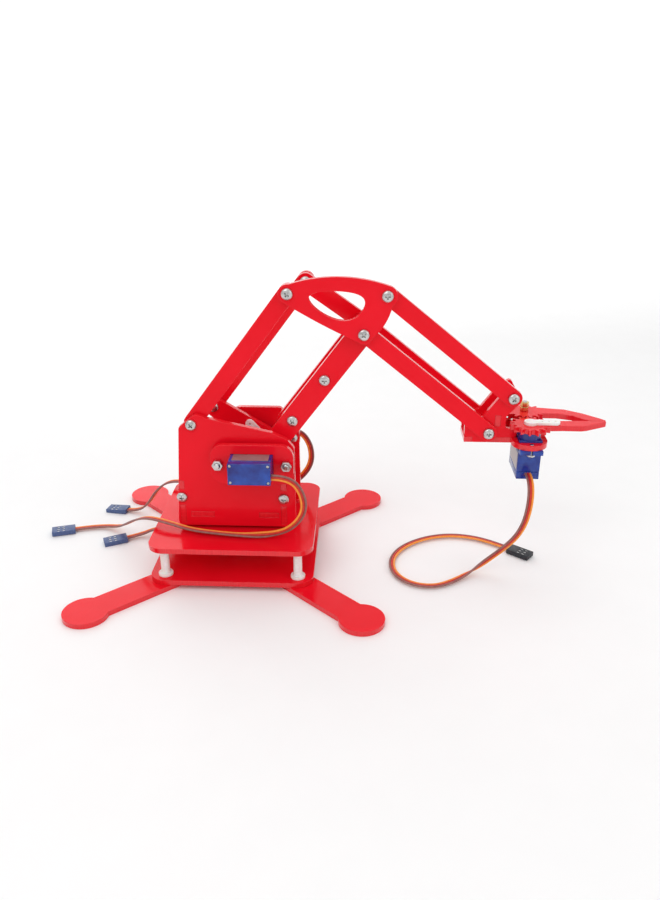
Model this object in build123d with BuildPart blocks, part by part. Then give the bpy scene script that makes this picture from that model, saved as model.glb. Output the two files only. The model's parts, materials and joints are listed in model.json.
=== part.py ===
from build123d import *
import os
from math import atan2, cos, degrees, pi, radians, sin, tan

# Desktop parallel-linkage robot arm cut from 3 mm acrylic sheet, driven by four 9 g micro servos.
# World frame, millimetres: +X is the way the arm reaches, +Z is up, and the origin is on the turning
# axis of the base, on the table. "Depth" is measured along +Y from the outer face of the near side plate.

SHEET = 3.0                  # acrylic sheet
GAP = 0.25                   # running gap between stacked links
BOX_WIDTH = 37.0             # over the outer faces of the two side plates
LINK_WIDTH = 9.2
UPPER_ARM_WIDTH = 12.6

# Base
FOOT_X, FOOT_Y = 72.6, 68.6  # centres of the round foot pads
PAD_RADIUS = 12.3
LEG_WIDTH = 17.0
PLATE_X, PLATE_Y = 45.6, 42.8
PLATE_CORNER = 9.0
STANDOFF_X, STANDOFF_Y = 37.0, 36.0
STUD = 14.0                  # headless screw up through the foot into each standoff
LOWER_PLATE_Z = SHEET
UPPER_PLATE_Z = 23.0
UPPER_TOP = UPPER_PLATE_Z + SHEET

# Pivot screws
SCREW = 1.5                  # M3 shank radius
SCREW_HOLE = 1.6
HEAD_RADIUS = 3.0
HEAD = 1.8
HEAD_LIFT = 0.1              # play under a head or nut that another link turns against

# Micro servo, measured from the spline axis and from the top face of the mounting ears
BODY_LONG, BODY_SHORT = 22.8, 12.2
BODY_BELOW, BODY_ABOVE = 18.4, 4.3
EAR_LENGTH, EAR = 32.2, 2.5
SHAFT_OFFSET = 5.9           # spline axis from the middle of the case
TOWER_RADIUS, TOWER_TOP = 5.9, 8.3
SPLINE_RADIUS, SPLINE_TOP = 2.3, 11.3
EAR_HOLE_OFFSET = 13.9
LINK_ON_SERVO = 8.8          # where a driven plate starts, above the ears
COLLAR_LENGTH, COLLAR_WIDTH = 45.0, 23.0
COLLAR_BOLT = 18.6           # middle of the case to a clamp bolt
HUB_RADIUS = 3.5
HORN = 1.5
HORN_REACH = 13.0            # hub axis to the outermost hole
LEVER_HORN_REACH, LEVER_HORN_ANGLE = 16.0, 131.0

# The linkage in the XZ plane: two parallelograms that keep the elbow plate and the wrist level
SHOULDER = Vector(18.0, 68.5)
UPPER_ARM = Vector(53.3, 71.3)
FOREARM = Vector(67.7, -54.3)
REAR_OFFSET = Vector(-38.8, 20.5)
LEVEL_OFFSET = Vector(11.6, 19.8)
TAIL = 38.0                  # forearm extension and drive lever, pivot to pivot
TAIL_ANGLE = 145.0
TAIL_OFFSET = Vector(TAIL * cos(radians(TAIL_ANGLE)), TAIL * sin(radians(TAIL_ANGLE)))

ELBOW = SHOULDER + UPPER_ARM
WRIST = ELBOW + FOREARM
REAR_LOW, REAR_HIGH = SHOULDER + REAR_OFFSET, ELBOW + REAR_OFFSET
LEVEL_BACK, LEVEL_FRONT = ELBOW + LEVEL_OFFSET, WRIST + LEVEL_OFFSET
LEVER_END, TAIL_END = SHOULDER + TAIL_OFFSET, ELBOW + TAIL_OFFSET
BRIDGE_LOW, BRIDGE_HIGH = SHOULDER + UPPER_ARM * 0.285, SHOULDER + UPPER_ARM * 0.615

# Front-face depths of the layers, from the near side to the far side
OUTER = 0.0
FRONT_LINKS = SHEET + GAP
NEAR_CHEEK = FRONT_LINKS + SHEET + GAP
NEAR_ARM = LINK_ON_SERVO
FAR_CHEEK = 20.4
FAR_ARM = FAR_CHEEK
FAR_FOREARM = FAR_ARM + SHEET + GAP
LEVER = BOX_WIDTH - LINK_ON_SERVO - SHEET
DRIVE_LINK = 28.9
FAR_SIDE = BOX_WIDTH - SHEET
HEAD_MIDDLE = (NEAR_CHEEK + FAR_CHEEK + SHEET) / 2

# Turntable box
CROSS_LEFT, CROSS_RIGHT = -28.7, 28.3
CROSS_TOP, CROSS_BOTTOM = SHOULDER.Y - 12, UPPER_TOP + 1.5
SIDE_BOTTOM = UPPER_TOP + 1.8  # turns just above the base servo's cover
FLOOR_Z = 33.5
CROSS_TABS = ((SHOULDER.Y - 39, SHOULDER.Y - 28), (SHOULDER.Y - 18, SHOULDER.Y - 13))
FLOOR_TABS = ((SHOULDER.X - 35.7, 13.0), (SHOULDER.X + 1.8, 11.0))
SLOT_PLAY = 0.1
T_SCREW_Z = SHOULDER.Y - 23.0
NUT_RADIUS, NUT = 3.1, 2.4
CLAMP_LENGTH = EAR + SHEET + NUT + 1.0   # collar bolt beyond the side plate's outer face

# Gripper
GRIPPER_X = SHOULDER.X + 143.2
GRIP_PLATE_Z = SHOULDER.Y + 10.5
GEAR_Z = GRIP_PLATE_Z + LINK_ON_SERVO
TEETH = 15
PITCH_RADIUS = 9.9           # half of the distance between the claw pivots
ROOT_RADIUS, TIP_RADIUS = 8.4, 10.9
NEAR_GEAR_DEPTH = HEAD_MIDDLE - PITCH_RADIUS
FAR_GEAR_DEPTH = HEAD_MIDDLE + PITCH_RADIUS
M25 = 1.25
DECK_END = 9.5               # radius of the deck's two rounded ends, under the claw pivots
TAB_X = (SHOULDER.X + 113.0, SHOULDER.X + 121.0)
BRACE_X, BRACE_LOW, BRACE_HIGH = SHOULDER.X + 126.0, SHOULDER.Y + 20.0, SHOULDER.Y + 26.0
EAR_SCREW_DEPTH = NEAR_GEAR_DEPTH + SHAFT_OFFSET - EAR_HOLE_OFFSET
BOLT_ABOVE = 5.8             # claw bolt above its claw

# Servo leads
LEAD = 3.6
LEAD_RADIUS = LEAD / 2
CONNECTOR = (14.0, 7.8, 2.8)

os.makedirs("parts", exist_ok=True)


def finish(piece, name):
    """Label a finished piece and write its STEP file."""
    piece.part.label = name
    export_step(piece.part, f"parts/{name}.step")


def side_on(depth):
    """Sketch plane with X across and Z up, at a depth; extrude(-t) goes away from the near side."""
    return Plane.XZ.offset(BOX_WIDTH / 2 - depth)


def across(depth):
    """World Y of a depth."""
    return depth - BOX_WIDTH / 2


def point(corner):
    return (corner.X, corner.Y)


def bar(start, end, width):
    """A round-ended bar outline between two points of the current sketch."""
    run = end - start
    with Locations(point((start + end) / 2)):
        SlotCenterToCenter(run.length, width, rotation=degrees(atan2(run.Y, run.X)))


def holes(places, radius=SCREW_HOLE):
    with Locations(*[point(place) for place in places]):
        Circle(radius, mode=Mode.SUBTRACT)


def link(name, depth, start, end, width=LINK_WIDTH, start_hole=SCREW_HOLE, end_hole=SCREW_HOLE):
    with BuildPart() as strip:
        with BuildSketch(side_on(depth)):
            bar(start, end, width)
            holes([start], start_hole)
            holes([end], end_hole)
        extrude(amount=-SHEET)
    finish(strip, name)


def screws(name, rows):
    """Pan-head screws: place, depth under the head and depth of the tip, along +Y or -Y."""
    with BuildPart() as group:
        for place, head_depth, tip_depth in rows:
            length = head_depth - tip_depth
            head = -HEAD if length > 0 else HEAD
            for radius, amount in ((HEAD_RADIUS, head), (SCREW, length)):
                with BuildSketch(side_on(head_depth)):
                    with Locations(point(place)):
                        Circle(radius)
                extrude(amount=amount)
    finish(group, name)


# ---------------------------------------------------------------- servos

def servo(name, mount):
    """Case and output shaft of a micro servo. mount: origin on the spline axis at the ears' top face,
    z along the shaft, x from the spline axis towards the short end of the case."""
    middle = -SHAFT_OFFSET
    with BuildPart() as case:
        with BuildSketch(mount.offset(-BODY_BELOW)):
            with Locations((middle, 0)):
                RectangleRounded(BODY_LONG, BODY_SHORT, 0.6)
        extrude(amount=BODY_BELOW + BODY_ABOVE)
        with BuildSketch(mount.offset(-EAR)):
            with Locations((middle, 0)):
                RectangleRounded(EAR_LENGTH, BODY_SHORT, 0.5)
            with Locations((middle - EAR_HOLE_OFFSET, 0), (middle + EAR_HOLE_OFFSET, 0)):
                Circle(M25 + 0.02, mode=Mode.SUBTRACT)
        extrude(amount=EAR)
        with BuildSketch(mount.offset(BODY_ABOVE)):
            Circle(TOWER_RADIUS)
            with Locations((-TOWER_RADIUS, 0)):
                Circle(2.7)
        extrude(amount=TOWER_TOP - BODY_ABOVE)
    finish(case, f"{name}_servo_case")
    with BuildPart() as shaft:
        with BuildSketch(mount.offset(TOWER_TOP)):
            Circle(SPLINE_RADIUS)
        extrude(amount=SPLINE_TOP - TOWER_TOP)
    finish(shaft, f"{name}_servo_shaft")


def horn(name, mount, top, reach, turn):
    """Single-arm servo horn on a servo's mount plane: hub on the spline, arm on the driven plate."""
    with BuildPart() as arm:
        with BuildSketch(mount.offset(LINK_ON_SERVO - 0.2)):
            Circle(HUB_RADIUS)
        extrude(amount=top - LINK_ON_SERVO + 0.2 + HORN)
        with BuildSketch(mount.offset(top)):
            way = Vector(cos(radians(turn)), sin(radians(turn)))
            bar(Vector(0, 0), way * reach, 5.0)
            with Locations(*[point(way * step) for step in (reach - 7, reach - 3.5, reach)]):
                Circle(0.5, mode=Mode.SUBTRACT)
        extrude(amount=HORN)
        with BuildSketch(mount.offset(LINK_ON_SERVO - 0.2)):
            Circle(SPLINE_RADIUS)
        extrude(amount=SPLINE_TOP - LINK_ON_SERVO + 0.2, mode=Mode.SUBTRACT)
    finish(arm, name)


def collar(name, mount):
    """Servo collar under the ears, with two clamp bolts just outside them."""
    with BuildPart() as ring:
        with BuildSketch(mount.offset(-EAR - SHEET)):
            with Locations((-SHAFT_OFFSET, 0)):
                RectangleRounded(COLLAR_LENGTH, COLLAR_WIDTH, 7.0)
                Rectangle(BODY_LONG + 0.2, BODY_SHORT + 0.2, mode=Mode.SUBTRACT)
                with Locations((-COLLAR_BOLT, 0), (COLLAR_BOLT, 0)):
                    Circle(SCREW, mode=Mode.SUBTRACT)
        extrude(amount=SHEET)
    finish(ring, name)


NEAR_MOUNT = Plane(origin=(SHOULDER.X, across(0), SHOULDER.Y), x_dir=(1, 0, 0), z_dir=(0, 1, 0))
FAR_MOUNT = Plane(origin=(SHOULDER.X, across(BOX_WIDTH), SHOULDER.Y), x_dir=(1, 0, 0), z_dir=(0, -1, 0))
BASE_MOUNT = Plane(origin=(0, 0, UPPER_PLATE_Z), x_dir=(-1, 0, 0), z_dir=(0, 0, 1))
GRIP_MOUNT = Plane(origin=(GRIPPER_X, across(NEAR_GEAR_DEPTH), GRIP_PLATE_Z), x_dir=(0, -1, 0),
                   z_dir=(0, 0, 1))

for servo_name, servo_mount in (("near", NEAR_MOUNT), ("far", FAR_MOUNT), ("base", BASE_MOUNT),
                                ("gripper", GRIP_MOUNT)):
    servo(servo_name, servo_mount)
for collar_name, collar_mount in (("near_servo_collar", NEAR_MOUNT), ("far_servo_collar", FAR_MOUNT),
                                  ("base_servo_collar", BASE_MOUNT)):
    collar(collar_name, collar_mount)

# ---------------------------------------------------------------- base

with BuildPart() as foot_cross:
    with BuildSketch(Plane.XY):
        for side in (-1, 1):
            bar(Vector(-FOOT_X, -side * FOOT_Y), Vector(FOOT_X, side * FOOT_Y), LEG_WIDTH)
        with Locations(*[(x, y) for x in (-FOOT_X, FOOT_X) for y in (-FOOT_Y, FOOT_Y)]):
            Circle(PAD_RADIUS)
        with GridLocations(2 * STANDOFF_X, 2 * STANDOFF_Y, 2, 2):
            Circle(SCREW, mode=Mode.SUBTRACT)
    extrude(amount=SHEET)
finish(foot_cross, "foot_cross")


def base_plate(name, height, window):
    with BuildPart() as plate:
        with BuildSketch(Plane.XY.offset(height)):
            RectangleRounded(2 * PLATE_X, 2 * PLATE_Y, PLATE_CORNER)
            if name == "base_lower_plate":
                with GridLocations(2 * STANDOFF_X, 2 * STANDOFF_Y, 2, 2):
                    Circle(SCREW, mode=Mode.SUBTRACT)
            with Locations((SHAFT_OFFSET, 0)):
                Rectangle(*window, mode=Mode.SUBTRACT)
                if name == "base_upper_plate":
                    with Locations((-COLLAR_BOLT, 0), (COLLAR_BOLT, 0)):
                        Circle(SCREW, mode=Mode.SUBTRACT)
        extrude(amount=SHEET)
    finish(plate, name)


base_plate("base_lower_plate", LOWER_PLATE_Z, (BODY_LONG + 1.2, BODY_SHORT + 1.2))
base_plate("base_upper_plate", UPPER_PLATE_Z, (BODY_LONG + 0.2, BODY_SHORT + 0.2))

with BuildPart() as base_standoffs:
    for height, radius, length in ((LOWER_PLATE_Z + SHEET, 4.0, 1.5), (LOWER_PLATE_Z + SHEET, 2.4, 17.0)):
        with BuildSketch(Plane.XY.offset(height)):
            with GridLocations(2 * STANDOFF_X, 2 * STANDOFF_Y, 2, 2):
                Circle(radius)
                Circle(SCREW, mode=Mode.SUBTRACT)
        extrude(amount=length)
finish(base_standoffs, "base_standoffs")

with BuildPart() as base_screws:
    with BuildSketch(Plane.XY):
        with GridLocations(2 * STANDOFF_X, 2 * STANDOFF_Y, 2, 2):
            Circle(SCREW)
    extrude(amount=STUD)
    for side in (-COLLAR_BOLT, COLLAR_BOLT):
        for radius, length in ((HEAD_RADIUS, -HEAD), (SCREW, EAR + 2 * SHEET)):
            with BuildSketch(BASE_MOUNT.offset(-EAR - SHEET)):
                with Locations((side - SHAFT_OFFSET, 0)):
                    Circle(radius)
            extrude(amount=length)
finish(base_screws, "base_screws")

# ---------------------------------------------------------------- turntable box


def side_outline(near):
    """Side plate outline; only the near plate carries the rear link's ear."""
    low, right, left = SIDE_BOTTOM, SHOULDER.X + 17.0, SHOULDER.X - 50.0
    if near:
        top = [(SHOULDER.X + 16.6, SHOULDER.Y + 8), (SHOULDER.X + 13.0, SHOULDER.Y + 12.5),
               (SHOULDER.X + 4.8, SHOULDER.Y + 16.6), (SHOULDER.X - 30.5, SHOULDER.Y + 24.4),
               (SHOULDER.X - 36.5, SHOULDER.Y + 26.8), (SHOULDER.X - 45.8, SHOULDER.Y + 19.0)]
    else:
        top = [(SHOULDER.X + 16.6, SHOULDER.Y + 8), (SHOULDER.X + 6.0, SHOULDER.Y + 18.6),
               (SHOULDER.X - 18.0, SHOULDER.Y + 18.6), (SHOULDER.X - 48.0, SHOULDER.Y + 5.0)]
    return [(right, low)] + top + [(left, low)]


def side_plate(name, depth, near):
    with BuildPart() as plate:
        with BuildSketch(side_on(depth)) as outline:
            with BuildLine():
                Polyline(*side_outline(near), close=True)
            make_face()
            fillet(outline.vertices(), 3.0)
            with Locations((SHOULDER.X - SHAFT_OFFSET, SHOULDER.Y)):
                Rectangle(BODY_LONG + 0.2, BODY_SHORT + 0.2, mode=Mode.SUBTRACT)
                with Locations((-COLLAR_BOLT, 0), (COLLAR_BOLT, 0)):
                    Circle(SCREW, mode=Mode.SUBTRACT)
            for middle in (CROSS_LEFT, CROSS_RIGHT):
                for low, high in CROSS_TABS:
                    with Locations((middle, (low + high) / 2)):
                        Rectangle(SHEET + SLOT_PLAY, high - low + SLOT_PLAY, mode=Mode.SUBTRACT)
            for middle, length in FLOOR_TABS:
                with Locations((middle, FLOOR_Z + SHEET / 2)):
                    Rectangle(length + SLOT_PLAY, SHEET + SLOT_PLAY, mode=Mode.SUBTRACT)
            holes([Vector(CROSS_LEFT, T_SCREW_Z), Vector(CROSS_RIGHT, T_SCREW_Z)], SCREW)
            if near:
                holes([REAR_LOW], SCREW)
        extrude(amount=-SHEET)
    finish(plate, name)


side_plate("near_side_plate", OUTER, True)
side_plate("far_side_plate", FAR_SIDE, False)


def cross_plate(name, middle):
    """Upright plate between the side plates, tabbed into both, with a T-slot for each captive nut."""
    with BuildPart() as plate:
        with BuildSketch(Plane.YZ.offset(middle - SHEET / 2)):
            with Locations((0, (CROSS_TOP + CROSS_BOTTOM) / 2)):
                Rectangle(BOX_WIDTH - 2 * SHEET, CROSS_TOP - CROSS_BOTTOM)
            for low, high in CROSS_TABS:
                with Locations((0, (low + high) / 2)):
                    Rectangle(BOX_WIDTH, high - low)
            for side in (-1, 1):
                edge = side * (BOX_WIDTH / 2 - SHEET)
                with Locations((edge - side * 4.5, T_SCREW_Z)):
                    Rectangle(9.0, 2 * SCREW + SLOT_PLAY, mode=Mode.SUBTRACT)
                with Locations((edge - side * 5.0, T_SCREW_Z)):
                    Rectangle(NUT + SLOT_PLAY, 5.6, mode=Mode.SUBTRACT)
            if name == "right_cross_plate":
                with Locations((0, CROSS_TOP)):
                    Rectangle(12.0, 10.0, mode=Mode.SUBTRACT)
        extrude(amount=SHEET)
    finish(plate, name)


cross_plate("left_cross_plate", CROSS_LEFT)
cross_plate("right_cross_plate", CROSS_RIGHT)

with BuildPart() as turntable_floor:
    with BuildSketch(Plane.XY.offset(FLOOR_Z)):
        inner_left, inner_right = CROSS_LEFT + SHEET / 2 + 0.1, CROSS_RIGHT - SHEET / 2 - 0.1
        with Locations(((inner_left + inner_right) / 2, 0)):
            Rectangle(inner_right - inner_left, BOX_WIDTH - 2 * SHEET)
        for middle, length in FLOOR_TABS:
            with Locations((middle, 0)):
                Rectangle(length, BOX_WIDTH)
        Circle(HUB_RADIUS + 0.02, mode=Mode.SUBTRACT)
    extrude(amount=SHEET)
finish(turntable_floor, "turntable_floor")
horn("base_horn", BASE_MOUNT, FLOOR_Z + SHEET - UPPER_PLATE_Z, HORN_REACH, 180)

T_SCREWS = [(Vector(x, T_SCREW_Z), head, tip) for x in (CROSS_LEFT, CROSS_RIGHT)
            for head, tip in ((OUTER, 11.0), (BOX_WIDTH, BOX_WIDTH - 11.0))]
COLLAR_BOLTS = [(Vector(SHOULDER.X - SHAFT_OFFSET + side * COLLAR_BOLT, SHOULDER.Y), head, tip)
                for side in (-1, 1)
                for head, tip in ((SHEET, -CLAMP_LENGTH), (FAR_SIDE, BOX_WIDTH + CLAMP_LENGTH))]
screws("turntable_screws", T_SCREWS + COLLAR_BOLTS + [(REAR_LOW, OUTER, 7.0)])

with BuildPart() as turntable_nuts:
    for x in (CROSS_LEFT, CROSS_RIGHT):
        for side in (-1, 1):
            with BuildSketch(Plane.XZ.offset(side * (BOX_WIDTH / 2 - SHEET - 5.0) - NUT / 2)):
                with Locations((x, T_SCREW_Z)):
                    Rectangle(5.5, 5.5)
                    Circle(SCREW, mode=Mode.SUBTRACT)
            extrude(amount=NUT)
    for mount in (NEAR_MOUNT, FAR_MOUNT):
        with BuildSketch(mount.offset(-EAR - SHEET)):
            with Locations((-COLLAR_BOLT - SHAFT_OFFSET, 0), (COLLAR_BOLT - SHAFT_OFFSET, 0)):
                RegularPolygon(NUT_RADIUS, 6)
                Circle(SCREW, mode=Mode.SUBTRACT)
        extrude(amount=-NUT)
finish(turntable_nuts, "turntable_nuts")

# ---------------------------------------------------------------- linkage

def upper_arm(name, depth, foot, hub_radius, elbow_hole):
    """One side of the upper arm, with the bridge's two screws through it."""
    with BuildPart() as side:
        with BuildSketch(side_on(depth)):
            bar(foot, ELBOW, UPPER_ARM_WIDTH)
            if hub_radius:
                holes([foot], hub_radius)
            holes([ELBOW], elbow_hole)
            holes([BRIDGE_LOW, BRIDGE_HIGH], SCREW)
        extrude(amount=-SHEET)
    finish(side, name)


upper_arm("near_upper_arm", NEAR_ARM, SHOULDER, HUB_RADIUS + 0.02, SCREW_HOLE)
upper_arm("far_upper_arm", FAR_ARM, SHOULDER + UPPER_ARM * 0.22, 0, SCREW)
link("rear_link", FRONT_LINKS, REAR_LOW, REAR_HIGH)
link("leveller_link", FRONT_LINKS, LEVEL_BACK, LEVEL_FRONT)
link("near_forearm", FRONT_LINKS, ELBOW, WRIST)
link("drive_link", DRIVE_LINK, LEVER_END, TAIL_END)

with BuildPart() as drive_lever:
    with BuildSketch(side_on(LEVER)):
        with Locations(point(SHOULDER)):
            Circle(8.0)
        with Locations(point(LEVER_END)):
            Circle(5.5)
        make_hull()
        holes([SHOULDER], HUB_RADIUS + 0.02)
        holes([LEVER_END], SCREW)
    extrude(amount=-SHEET)
finish(drive_lever, "drive_lever")

with BuildPart() as far_forearm:
    with BuildSketch(side_on(FAR_FOREARM)):
        bar(ELBOW, WRIST, LINK_WIDTH)
        bar(ELBOW, TAIL_END, LINK_WIDTH)
        holes([ELBOW, WRIST, TAIL_END])
    extrude(amount=-SHEET)
finish(far_forearm, "far_forearm")

with BuildPart() as elbow_plate:
    with BuildSketch(side_on(OUTER)) as leaf:
        with BuildLine():
            top_left = REAR_HIGH + Vector(0.7, 4.8)
            top_right = LEVEL_BACK + Vector(1.6, 4.9)
            ThreePointArc(point(top_left), point(ELBOW + Vector(-13.5, 29.2)), point(top_right))
            RadiusArc(point(top_right), point(LEVEL_BACK + Vector(2.6, -4.8)), 5.4)
            ThreePointArc(point(LEVEL_BACK + Vector(2.6, -4.8)), point(ELBOW + Vector(12.0, 8.2)),
                          point(ELBOW + Vector(4.6, -1.6)))
            RadiusArc(point(ELBOW + Vector(4.6, -1.6)), point(ELBOW + Vector(-3.4, -3.7)), 5.0)
            ThreePointArc(point(ELBOW + Vector(-3.4, -3.7)), point(ELBOW + Vector(-25.5, 7.2)),
                          point(REAR_HIGH + Vector(-2.9, -3.9)))
            RadiusArc(point(REAR_HIGH + Vector(-2.9, -3.9)), point(top_left), 4.9)
        make_face()
        with BuildLine(mode=Mode.PRIVATE) as window_line:
            tip = ELBOW + Vector(-27.5, 19.6)
            crown = ELBOW + Vector(-12.0, 22.0)
            shoulder_point = ELBOW + Vector(0.2, 17.2)
            bottom = ELBOW + Vector(-7.0, 7.6)
            Spline(point(tip), point(crown), point(shoulder_point), point(bottom), periodic=True)
        with BuildSketch(mode=Mode.PRIVATE) as window:
            add(window_line.line)
            make_face()
        add(window.sketch, mode=Mode.SUBTRACT)
        holes([ELBOW, REAR_HIGH, LEVEL_BACK], SCREW)
    extrude(amount=-SHEET)
finish(elbow_plate, "elbow_plate")

with BuildPart() as arm_bridge:
    with BuildSketch(side_on(NEAR_ARM + SHEET)):
        bar(BRIDGE_LOW - UPPER_ARM * 0.06, BRIDGE_HIGH + UPPER_ARM * 0.06, 6.0)
        holes([BRIDGE_LOW, BRIDGE_HIGH], SCREW)
    extrude(amount=-(FAR_ARM - NEAR_ARM - SHEET))
finish(arm_bridge, "upper_arm_bridge")
screws("upper_arm_screws", [(BRIDGE_LOW, NEAR_ARM, FAR_ARM + SHEET), (BRIDGE_HIGH, NEAR_ARM, FAR_ARM + SHEET),
                            (ELBOW, FAR_ARM, FAR_FOREARM + SHEET + 0.5)])
horn("near_servo_horn", NEAR_MOUNT, LINK_ON_SERVO + SHEET, HORN_REACH, -degrees(atan2(UPPER_ARM.Y, UPPER_ARM.X)))
horn("far_servo_horn", FAR_MOUNT, LINK_ON_SERVO + SHEET, LEVER_HORN_REACH, LEVER_HORN_ANGLE)

# Pivot screws, each held by the last plate it enters or by the plate under its head
screws("elbow_plate_screws", [(REAR_HIGH, OUTER, 7.0), (LEVEL_BACK, OUTER, 7.0),
                              (ELBOW, OUTER, NEAR_ARM + SHEET + 0.5)])
screws("lever_screw", [(LEVER_END, LEVER, DRIVE_LINK + SHEET + 0.5)])
screws("tail_screw", [(TAIL_END, FAR_FOREARM - HEAD_LIFT, DRIVE_LINK + SHEET + 0.5)])
screws("head_pivot_screws", [(LEVEL_FRONT, FRONT_LINKS - HEAD_LIFT, NEAR_CHEEK + SHEET + 1.0),
                             (WRIST, FRONT_LINKS - HEAD_LIFT, NEAR_CHEEK + SHEET + 1.0),
                             (WRIST, FAR_FOREARM + SHEET + HEAD_LIFT, FAR_CHEEK - 1.0)])


def spacer_nut(name, place, low, high):
    """Hex nut run up a pivot screw to hold two links apart."""
    with BuildPart() as nut:
        with BuildSketch(side_on(low)):
            with Locations(point(place)):
                RegularPolygon(NUT_RADIUS, 6)
                Circle(SCREW, mode=Mode.SUBTRACT)
        extrude(amount=low - high)
    finish(nut, name)


spacer_nut("elbow_nut", ELBOW, FRONT_LINKS + SHEET + HEAD_LIFT, NEAR_ARM - HEAD_LIFT)
spacer_nut("tail_nut", TAIL_END, FAR_FOREARM + SHEET + HEAD_LIFT, DRIVE_LINK - HEAD_LIFT)

# ---------------------------------------------------------------- gripper head


def cheek(name, depth):
    """Boomerang cheek that carries the wrist and leveller pivots, tabbed down into the deck."""
    with BuildPart() as plate:
        with BuildSketch(side_on(depth)) as outline:
            with BuildLine():
                Polyline(*[(SHOULDER.X + x, SHOULDER.Y + z) for x, z in (
                    (108.5, 13.5), (136.5, 13.5), (136.5, 18.4), (130.3, 18.8), (130.3, 25.6), (137.8, 34.2),
                    (133.4, 42.2), (127.2, 38.4), (117.6, 24.8), (108.5, 22.2))], close=True)
            make_face()
            fillet(outline.vertices(), 1.6)
            with Locations((sum(TAB_X) / 2, GRIP_PLATE_Z + SHEET)):
                Rectangle(TAB_X[1] - TAB_X[0], 2 * SHEET)
            with Locations((BRACE_X, (BRACE_LOW + BRACE_HIGH) / 2)):
                Rectangle(SHEET + SLOT_PLAY, BRACE_HIGH - BRACE_LOW + SLOT_PLAY, mode=Mode.SUBTRACT)
            holes([LEVEL_FRONT, WRIST], SCREW)
        extrude(amount=-SHEET)
    finish(plate, name)


cheek("near_cheek", NEAR_CHEEK)
cheek("far_cheek", FAR_CHEEK)

with BuildPart() as gripper_deck:
    with BuildSketch(Plane.XY.offset(GRIP_PLATE_Z)):
        deck_left = SHOULDER.X + 108.5
        with Locations(((deck_left + GRIPPER_X) / 2, across(HEAD_MIDDLE))):
            Rectangle(GRIPPER_X - deck_left, FAR_CHEEK + SHEET - NEAR_CHEEK)
        bar(Vector(GRIPPER_X, across(NEAR_GEAR_DEPTH - 0.6)), Vector(GRIPPER_X, across(FAR_GEAR_DEPTH + 0.6)),
            2 * DECK_END)
        with Locations((GRIPPER_X, across(NEAR_GEAR_DEPTH + SHAFT_OFFSET))):
            Rectangle(BODY_SHORT + 0.2, BODY_LONG + 0.2, mode=Mode.SUBTRACT)
            with Locations((0, -EAR_HOLE_OFFSET), (0, EAR_HOLE_OFFSET)):
                Circle(M25, mode=Mode.SUBTRACT)
        for depth in (NEAR_CHEEK, FAR_CHEEK):
            with Locations((sum(TAB_X) / 2, across(depth + SHEET / 2))):
                Rectangle(TAB_X[1] - TAB_X[0] + SLOT_PLAY, SHEET + SLOT_PLAY, mode=Mode.SUBTRACT)
    extrude(amount=SHEET)
finish(gripper_deck, "gripper_deck")

with BuildPart() as head_brace:
    with BuildSketch(Plane.YZ.offset(BRACE_X - SHEET / 2)):
        with Locations((across(HEAD_MIDDLE), (GRIP_PLATE_Z + SHEET + BRACE_HIGH) / 2)):
            Rectangle(FAR_CHEEK - NEAR_CHEEK - SHEET, BRACE_HIGH - GRIP_PLATE_Z - SHEET)
        with Locations((across(HEAD_MIDDLE), (BRACE_LOW + BRACE_HIGH) / 2)):
            Rectangle(FAR_CHEEK - NEAR_CHEEK + SHEET, BRACE_HIGH - BRACE_LOW)
    extrude(amount=SHEET)
finish(head_brace, "head_brace")


def claw(name, pivot_depth, phase, jaw, hub_radius):
    """A geared claw: rounded teeth about its pivot, and a jaw outlined ahead of it."""
    pivot = Vector(GRIPPER_X, across(pivot_depth))
    pitch = 360 / TEETH
    with BuildPart() as plate:
        with BuildSketch(Plane.XY.offset(GEAR_Z)):
            with Locations(point(pivot)):
                Circle(ROOT_RADIUS)
                with PolarLocations(0, TEETH, start_angle=phase, angular_range=360):
                    with Locations((ROOT_RADIUS - 0.6, 0)):
                        Trapezoid(2.3, TIP_RADIUS - ROOT_RADIUS + 0.6, 76, rotation=-90,
                                  align=(Align.CENTER, Align.MIN))
            with BuildLine():
                Polyline(*[(SHOULDER.X + x, across(depth)) for x, depth in jaw], close=True)
            make_face()
            with Locations(point(pivot)):
                Circle(hub_radius, mode=Mode.SUBTRACT)
        extrude(amount=SHEET)
    finish(plate, name)


NEAR_JAW = ((145.0, 10.6), (158.3, 9.8), (168.0, 10.3), (176.0, 10.5), (183.8, 10.3), (184.3, 9.6), (182.6, 8.6),
            (176.3, 5.2), (172.6, 3.1), (169.4, 2.2), (159.9, 2.4), (145.0, 1.2))
FAR_JAW = ((145.0, 31.0), (152.0, 30.0), (165.8, 27.6), (174.5, 21.8), (182.4, 14.3), (184.5, 11.6),
           (184.3, 10.7), (176.0, 10.95), (173.0, 12.8), (168.0, 18.2), (160.2, 20.9), (145.0, 21.0))
claw("near_claw", NEAR_GEAR_DEPTH, 90, NEAR_JAW, HUB_RADIUS + 0.02)
claw("far_claw", FAR_GEAR_DEPTH, 90, FAR_JAW, M25 + 0.08)
horn("gripper_horn", GRIP_MOUNT, LINK_ON_SERVO + SHEET, HORN_REACH, 90)


with BuildPart() as gripper_bolts:
    for depth, top in ((EAR_SCREW_DEPTH, SHEET), (FAR_GEAR_DEPTH, LINK_ON_SERVO + SHEET + BOLT_ABOVE)):
        for radius, low, high in ((2.3, -EAR - 1.5, -EAR), (M25, -EAR, top)):
            with BuildSketch(Plane.XY.offset(GRIP_PLATE_Z + low)):
                with Locations((GRIPPER_X, across(depth))):
                    Circle(radius)
            extrude(amount=high - low)
finish(gripper_bolts, "gripper_bolts")

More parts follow.
